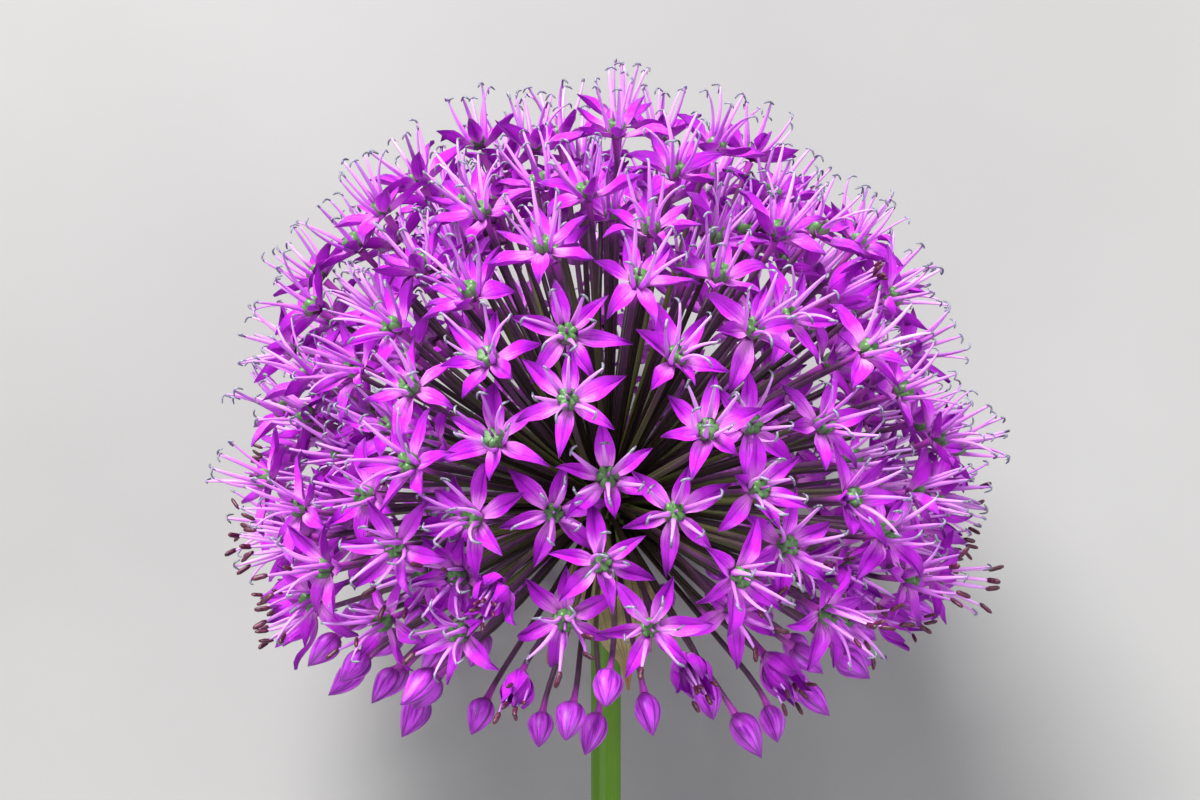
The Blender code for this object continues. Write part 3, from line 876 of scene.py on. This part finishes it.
whorls("tepals_inner", open_florets, inner_blades, tepal_look, "floret_purple", cymes, Count=3,
       First_Turn=math.pi / 3, Turn_Shake=0.12, Tilt_Name="opening", Tilt_Shake=0.22, Tilt_Offset=0.08,
       Out=0.45 * MM, Up=0.40 * MM, Size_Shake=0.08, Seed=17)

# ------------------------------------------------------------
# Half-open florets: the same six tepals, still cupped together like an urn.
# Some have only parted at the mouth, and some have let their tips bend out.
# ------------------------------------------------------------

CUP_TEPAL = (7.6 * MM, 2.7 * MM)
rng = random.Random(37)
cup_blades = []
for bend, curl, hollow, twist in ((-1.50, 0.2, 0.30, 0.05), (-1.35, 0.8, 0.28, -0.1),
                                  (-1.55, 0.5, 0.32, 0.0), (-1.20, 1.1, 0.30, 0.1)):
    cup_blades.append(blade(*CUP_TEPAL, bend, curl, hollow, twist, 0.0, rng, foot=0.5, ease=1.6, parts=10))
cups = [{**floret, "opening": floret["opening"] + rng.uniform(-0.10, 0.28)} for floret in half_florets]
for name, first, offset, out, seed in (("cups_outer", 0.0, 0.52, 0.35, 5),
                                       ("cups_inner", math.pi / 3, 0.44, 0.20, 9)):
    whorls(name, cups, cup_blades, tepal_look, "floret_purple", cymes, Count=3, First_Turn=first,
           Turn_Shake=0.06, Tilt_Name="opening", Tilt_Shake=0.10, Tilt_Offset=offset,
           Out=out * MM, Up=0.15 * MM, Size_Shake=0.05, Seed=seed)

# ------------------------------------------------------------
# Stamens: six filaments stand up inside each floret, broad and pale lilac at
# the foot and fine at the tip, each carrying an anther.
# ------------------------------------------------------------


def stalked(places, halves, flat=1.0, sides=6):
    """A tapering rod along places in the XZ plane, with its half-width at each; flat squeezes it."""
    rings = []
    for k, ((x, z), half) in enumerate(zip(places, halves)):
        before = places[max(0, k - 1)]
        after = places[min(len(places) - 1, k + 1)]
        lean = math.atan2(after[0] - before[0], after[1] - before[1])
        ring = []
        for j in range(sides):
            turn = math.tau * j / sides
            a, b = half * flat * math.cos(turn), half * math.sin(turn)
            ring.append((x + a * math.cos(lean), b, z - a * math.sin(lean)))
        rings.append(ring)
    first, last = places[0], places[-1]
    return skin((first[0], 0.0, first[1]), rings, (last[0], 0.0, last[1] + 0.3 * halves[-1]))


def filament_places(length, bow, count=7):
    """The line of a filament that leaves upright and bows outwards or inwards."""
    places = []
    x = z = 0.0
    for k in range(count + 1):
        part = k / count
        places.append((x, z))
        angle = bow * (part - 0.35)
        x += length / count * math.sin(angle)
        z += length / count * math.cos(angle)
    return places


def anther(places, length, width, curve, young, pitch, rng, rings, sides):
    """A two-celled anther on a filament's tip; an empty one is a small curled crescent."""
    tip_x, tip_z = places[-1]
    line = []
    for k in range(rings):
        part = k / (rings - 1)
        angle = curve * (part - 0.5)
        line.append((length * (0.5 - math.cos(angle) * 0.5) * 1.5, length * (part - 0.3)))
    ends = [min(k, rings - 1 - k) / (rings - 1) for k in range(rings)]
    halves = [width * 0.5 * min(1.0, 0.55 + 2.6 * end) for end in ends]
    bm = stalked(line, halves, 0.75, sides)
    pose = Euler((0.0, pitch, rng.uniform(0.0, math.tau)), "XYZ").to_matrix().to_4x4()
    swing = Matrix.Rotation(rng.uniform(0.0, math.tau), 4, "Z")
    bm.transform(Matrix.Translation((tip_x, 0.0, tip_z)) @ swing @ pose)
    freshness = bm.verts.layers.float.new("young")
    for vert in bm.verts:
        vert[freshness] = young
    return mesh_of(bm, "anther")


FILAMENT_LENGTH = 8.0 * MM
SPENT_ANTHER = (1.4 * MM, 0.36 * MM)
FRESH_ANTHER = (2.0 * MM, 0.74 * MM)
FRESH_FLORETS = 34
rng = random.Random(41)
taper = [half * MM for half in (0.54, 0.45, 0.385, 0.33, 0.29, 0.25, 0.20, 0.13)]
filaments, spent, fresh = [], [], []
for bow in (-0.5, 0.0, 0.35, 0.7, -0.2, 1.0):
    places = filament_places(FILAMENT_LENGTH * rng.uniform(0.94, 1.04), bow)
    filaments.append(mesh_of(stalked(places, taper, 0.7, 5), "filament"))
    bent = rng.uniform(0.8, 2.2)
    spent.append(anther(places, *SPENT_ANTHER, rng.uniform(1.6, 3.2), 0.0, bent, rng, 6, 5))
    bent = rng.uniform(0.0, 0.7)
    fresh.append(anther(places, *FRESH_ANTHER, rng.uniform(0.1, 0.5), 1.0, bent, rng, 6, 7))

filament_look, sap, shader = finish_of("filament_skin", roughness=0.4, sheen=0.05, soft=0.2,
                                       soft_depth=0.4 * MM, gloss=0.4)
along, tint, own = sap.facts("along", "tint", "own")
speck = sap.noise(1400.0, 2.0)
lilac = (along + (speck - 0.5) * 0.3).step(0.05, 0.60).blend((0.50, 0.040, 0.62), (0.72, 0.24, 0.84))
lilac = (along + (speck - 0.5) * 0.2).step(0.55, 1.0).blend(lilac, (0.50, 0.28, 0.68))
# Some filaments are painted dark purple: painted shade, as if they stood in shadow.
lilac = (own.step(0.45, 1.0) * 0.60).blend(lilac, (0.26, 0.018, 0.38))
# The filaments of some florets are painted paler lilac-white: painted light, as if they were lit.
lilac = (tint.step(0.5, 1.0) * 0.35).blend(lilac, (0.85, 0.50, 0.90))
lilac = (1.0 - along.step(0.0, 0.10)).blend(lilac, (0.18, 0.008, 0.14))
feed(shader, Base_Color=lilac, Roughness=speck * 0.2 + 0.3)

anther_look, sap, shader = finish_of("anther_skin", roughness=0.5)
young, own = sap.facts("young", "own")
grain = sap.noise(2600.0)
dusty = (grain.step(0.25, 0.75) * 0.6 + own * 0.4).blend((0.030, 0.026, 0.044), (0.30, 0.31, 0.40))
maroon = grain.step(0.3, 0.75).blend((0.022, 0.002, 0.010), (0.13, 0.010, 0.048))
feed(shader, Base_Color=young.blend(dusty, maroon), Roughness=grain * 0.3 + 0.30,
     Normal=grain.bump(0.5, 0.07 * MM))

low_open = sorted(open_florets, key=lambda floret: floret["direction"][2])[:FRESH_FLORETS]
high_open = [floret for floret in open_florets if not any(floret is other for other in low_open)]
cupped = [{**floret, "size": 0.84 * floret["size"], "spread": 0.5 * floret["spread"]}
          for floret in half_florets]
mixed = [fresh[0], spent[1], fresh[2], spent[3], fresh[4], spent[5]]
for part, chosen, anthers in (("high", high_open, spent), ("low", low_open, mixed),
                              ("half", cupped, fresh)):
    for name, shapes, look in ((f"filaments_{part}", filaments, filament_look),
                               (f"anthers_{part}", anthers, anther_look)):
        whorls(name, chosen, shapes, look, "floret_purple", cymes, Count=6, Turn_Shake=0.14,
               Tilt_Name="spread", Tilt_Shake=0.16, Out=0.75 * MM, Up=0.55 * MM, Size_Shake=0.07, Seed=29)

# ------------------------------------------------------------
# Pistils: a green, warty ovary of three lobes sits in the middle of every open
# floret, and a short purple style stands on it.
# ------------------------------------------------------------


def creased(bm, creases):
    """A skin with its creases marked, from its foot upwards, so that its finish can paint shade into them.
    """
    fold = bm.verts.layers.float.new("crease")
    for vert, value in zip(bm.verts, creases):
        vert[fold] = value
    return bm


OVARY_RADIUS = 1.36 * MM
OVARY_MIDDLE = 1.2 * MM
STYLE_LENGTH = 2.6 * MM
GROOVES = (0.30, 0.035, 0.0, 0.035, 0.19, 0.035, 0.0, 0.035)
POINT_SHIFTS = (0.0, -0.25, 0.0, 0.25)


def ovary(rng):
    """Three lobes of two round knobs each, grooved between, with a dip in the middle for the style."""
    rings = []
    creases = [1.0]
    for k in range(1, 7):
        polar = math.pi - k * math.pi / 7.3
        shoulder = math.exp(-((polar - 1.05) / 0.62) ** 2)
        ring = []
        for j in range(3 * len(GROOVES)):
            turn = math.tau * (j + POINT_SHIFTS[j % 4]) / (3 * len(GROOVES))
            groove = GROOVES[j % len(GROOVES)]
            wart = 1.0 + 0.015 * rng.uniform(-1.0, 1.0)
            out = OVARY_RADIUS * math.sin(polar) ** 0.72 * (1.0 - groove * (0.35 + 0.65 * shoulder)) * wart
            up = 1.12 * MM * math.cos(polar) + (0.30 - groove) * MM * shoulder
            ring.append(around(turn, out, up + OVARY_MIDDLE))
            creases.append(min(1.0, 4.0 * groove))
        rings.append(ring)
    return creased(skin((0.0, 0.0, 0.0), rings, (0.0, 0.0, 1.70 * MM)), creases)


look, sap, shader = finish_of("ovary_skin", roughness=0.4, soft=0.15, gloss=0.5)
wart = sap.node("ShaderNodeTexVoronoi", {"feature": "F1"}, {"Vector": sap.place(), "Scale": 5200.0})
grain = sap.noise(1500.0)
along, crease = sap.facts("along", "crease")
leaf_green = (grain * 0.6 - wart * 0.2 + 0.35).blend((0.032, 0.10, 0.022), (0.11, 0.28, 0.075))
# The grooves between the knobs are darkened by their depth: painted shade in the creases.
leaf_green = (crease.step(0.35, 1.0) * 0.8).blend(leaf_green, (0.012, 0.040, 0.008))
leaf_green = (1.0 - along.step(0.10, 0.42)).blend(leaf_green, (0.060, 0.006, 0.035))
feed(shader, Base_Color=leaf_green, Roughness=grain * 0.3 + 0.25,
     Normal=(wart * -1.0 + grain * 0.4).bump(0.20, 0.06 * MM))
rng = random.Random(53)
ovaries = [mesh_of(ovary(rng), "ovary") for _ in range(3)]
with_small = open_florets + [{**floret, "size": 0.6} for floret in half_florets]
whorls("ovaries", with_small, ovaries, look, "stem_green", (), Turn_Shake=0.6, Tilt_Shake=0.08,
       Up=0.25 * MM, Size_Shake=0.08, Seed=61)

look, sap, shader = finish_of("style_skin", roughness=0.45)
along, = sap.facts("along")
feed(shader, Base_Color=along.step(0.2, 0.9).blend((0.24, 0.03, 0.28), (0.40, 0.10, 0.46)))
taper = [half * MM for half in (0.26, 0.22, 0.18, 0.15, 0.14)]
styles = []
for bow in (0.0, 0.3, -0.3):
    places = [(x, z + OVARY_MIDDLE) for x, z in filament_places(STYLE_LENGTH, bow, 4)]
    styles.append(mesh_of(stalked(places, taper), "style"))
whorls("styles", open_florets, styles, look, "floret_purple", (), Turn_Shake=3.0, Tilt_Shake=0.08,
       Up=0.25 * MM, Size_Shake=0.1, Seed=67)

# ------------------------------------------------------------
# Buds: the youngest florets hang closed round the lower rim, ovoid and pointed,
# their six tepals still folded edge to edge, with fine lines running to the tip.
# ------------------------------------------------------------

BUD_RINGS = 13
BUD_LAPS = ((0.0, 1.0), (0.07, 0.5), (0.22, 0.0), (0.38, 0.15), (0.5, 0.6), (0.62, 0.15), (0.80, 0.0),
            (0.96, 0.1))


def bud(length, radius, beak, rng):
    """A pointed ovoid whose three outer tepals overlap, their tips closed in a bent beak.

    BUD_LAPS gives each point's place across a tepal and how deep in a fold it lies.
    """
    rings = []
    creases = [0.0]
    lean = rng.uniform(0.0, math.tau)
    for k in range(1, BUD_RINGS):
        part = k / BUD_RINGS
        body = math.sin(math.pi * part ** 0.78) ** 0.72 * (1.0 - 0.24 * part ** 2)
        overlap = 0.16 * math.sin(math.pi * part ** 0.6)
        ring = []
        for petal in range(3):
            for lap, dark in BUD_LAPS:
                turn = math.tau * (petal + lap) / 3 + lean - 0.35 * part
                rib = 0.07 * math.exp(-((lap - 0.5) / 0.10) ** 2)
                x, y, up = around(turn, radius * body * (0.97 + overlap * lap ** 1.5 - rib), length * part)
                ring.append((x + beak * part ** 4, y, up))
                creases.append(dark)
        rings.append(ring)
    return creased(skin((0.0, 0.0, 0.0), rings, (beak * 1.1, 0.0, 1.02 * length)), creases)


look, sap, shader = finish_of("bud_skin", roughness=0.42, sheen=0.05, soft=0.10,
                              soft_depth=0.5 * MM, gloss=0.4)
crease, along, across, tint = sap.facts("crease", "along", "across", "tint")
streak = sap.noise(1.0, 4.0, 0.6, sap.xyz(across * 26.0, along * 1.6, tint * 50.0))
violet = streak.step(0.36, 0.60).blend((0.25, 0.008, 0.38), (0.62, 0.060, 0.82))
violet = (1.0 - along.step(0.0, 0.30)).blend(violet, (0.24, 0.014, 0.30))
violet = (along.step(0.70, 1.0) * 0.7).blend(violet, (0.15, 0.005, 0.22))
# The seams and folds between the tepals are darkened: painted shade in the creases.
violet = (crease.step(0.2, 1.0) * 0.85).blend(violet, (0.060, 0.001, 0.090))
feed(shader, Base_Color=violet, Roughness=streak * 0.25 + 0.28,
     Normal=streak.bump(0.45, 0.10 * MM))
rng = random.Random(71)
buds = [mesh_of(bud(BUD_LENGTH * long, BUD_RADIUS * wide, beak * MM, rng), "bud")
        for long, wide, beak in ((1.06, 0.93, 0.2), (1.00, 0.89, 0.4), (1.08, 0.90, 0.1),
                                 (0.96, 0.94, 0.3), (1.12, 0.84, 0.5))]
whorls("buds", bud_florets, buds, look, "floret_purple", cymes, Turn_Shake=1.0, Tilt_Shake=0.12,
       Up=-0.2 * MM, Size_Shake=0.10, Seed=73)

# ------------------------------------------------------------
# The stage: a plain pale surface that the flower lies on, three soft lamps and a
# pale sky round it, and the camera, square to the stem and looking down on it.
# ------------------------------------------------------------

FLOOR_HALF = 3.0
bm = bmesh.new()
bmesh.ops.create_grid(bm, x_segments=1, y_segments=1, size=FLOOR_HALF)
floor = stood("floor", mesh_of(bm, "floor"))
look, sap, shader = finish_of("pale_surface", roughness=0.85, gloss=0.2)
soft_grain = sap.noise(30.0)
feed(shader, Base_Color=soft_grain.blend((0.27, 0.27, 0.266), (0.295, 0.295, 0.291)))
floor.data.materials.append(look)


def soft_lamp(name, place, width, power, colour):
    """A square lamp at a place seen from the middle of the head, turned towards it."""
    lamp = bpy.data.lights.new(name, "AREA")
    lamp.size = width
    lamp.energy = power
    lamp.color = colour
    holder = stood(name, lamp)
    holder.location = HUB + Vector(place)
    holder.rotation_euler = (-Vector(place)).to_track_quat("-Z", "Y").to_euler()


soft_lamp("key", (-0.45, 1.08, 1.08), 0.80, 70.0, (1.0, 0.98, 0.97))
soft_lamp("fill", (1.20, -0.10, 0.80), 0.90, 11.0, (0.95, 0.97, 1.0))
soft_lamp("low", (-0.50, -1.05, 0.70), 0.90, 8.0, (1.0, 1.0, 1.0))
sky = bpy.data.worlds.new("studio")
bpy.context.scene.world = sky
sky.use_nodes = True
sky.node_tree.nodes["Background"].inputs["Color"].default_value = (0.92, 0.95, 1.0, 1.0)
sky.node_tree.nodes["Background"].inputs["Strength"].default_value = 0.38

CAMERA_RISE = math.radians(10.0)
CAMERA_DISTANCE = 0.40
LENS = 89.5
SENSOR = 36.0
VIEW_WIDTH = CAMERA_DISTANCE * SENSOR / LENS
toward = LAY.to_3x3() @ Vector((0.0, -math.cos(CAMERA_RISE), math.sin(CAMERA_RISE)))
upward = LAY.to_3x3() @ Vector((0.0, math.sin(CAMERA_RISE), math.cos(CAMERA_RISE)))
rightward = upward.cross(toward)
camera = stood("camera", bpy.data.cameras.new("camera"))
camera.data.lens = LENS
camera.data.sensor_width = SENSOR
camera.data.clip_start = 0.01
stand = HUB + toward * CAMERA_DISTANCE - rightward * 0.005 * VIEW_WIDTH + upward * 0.085 * VIEW_WIDTH
camera.matrix_world = Matrix.Translation(stand) @ Matrix((rightward, upward, toward)).transposed().to_4x4()
bpy.context.scene.camera = camera

bpy.context.scene.view_settings.view_transform = "Standard"
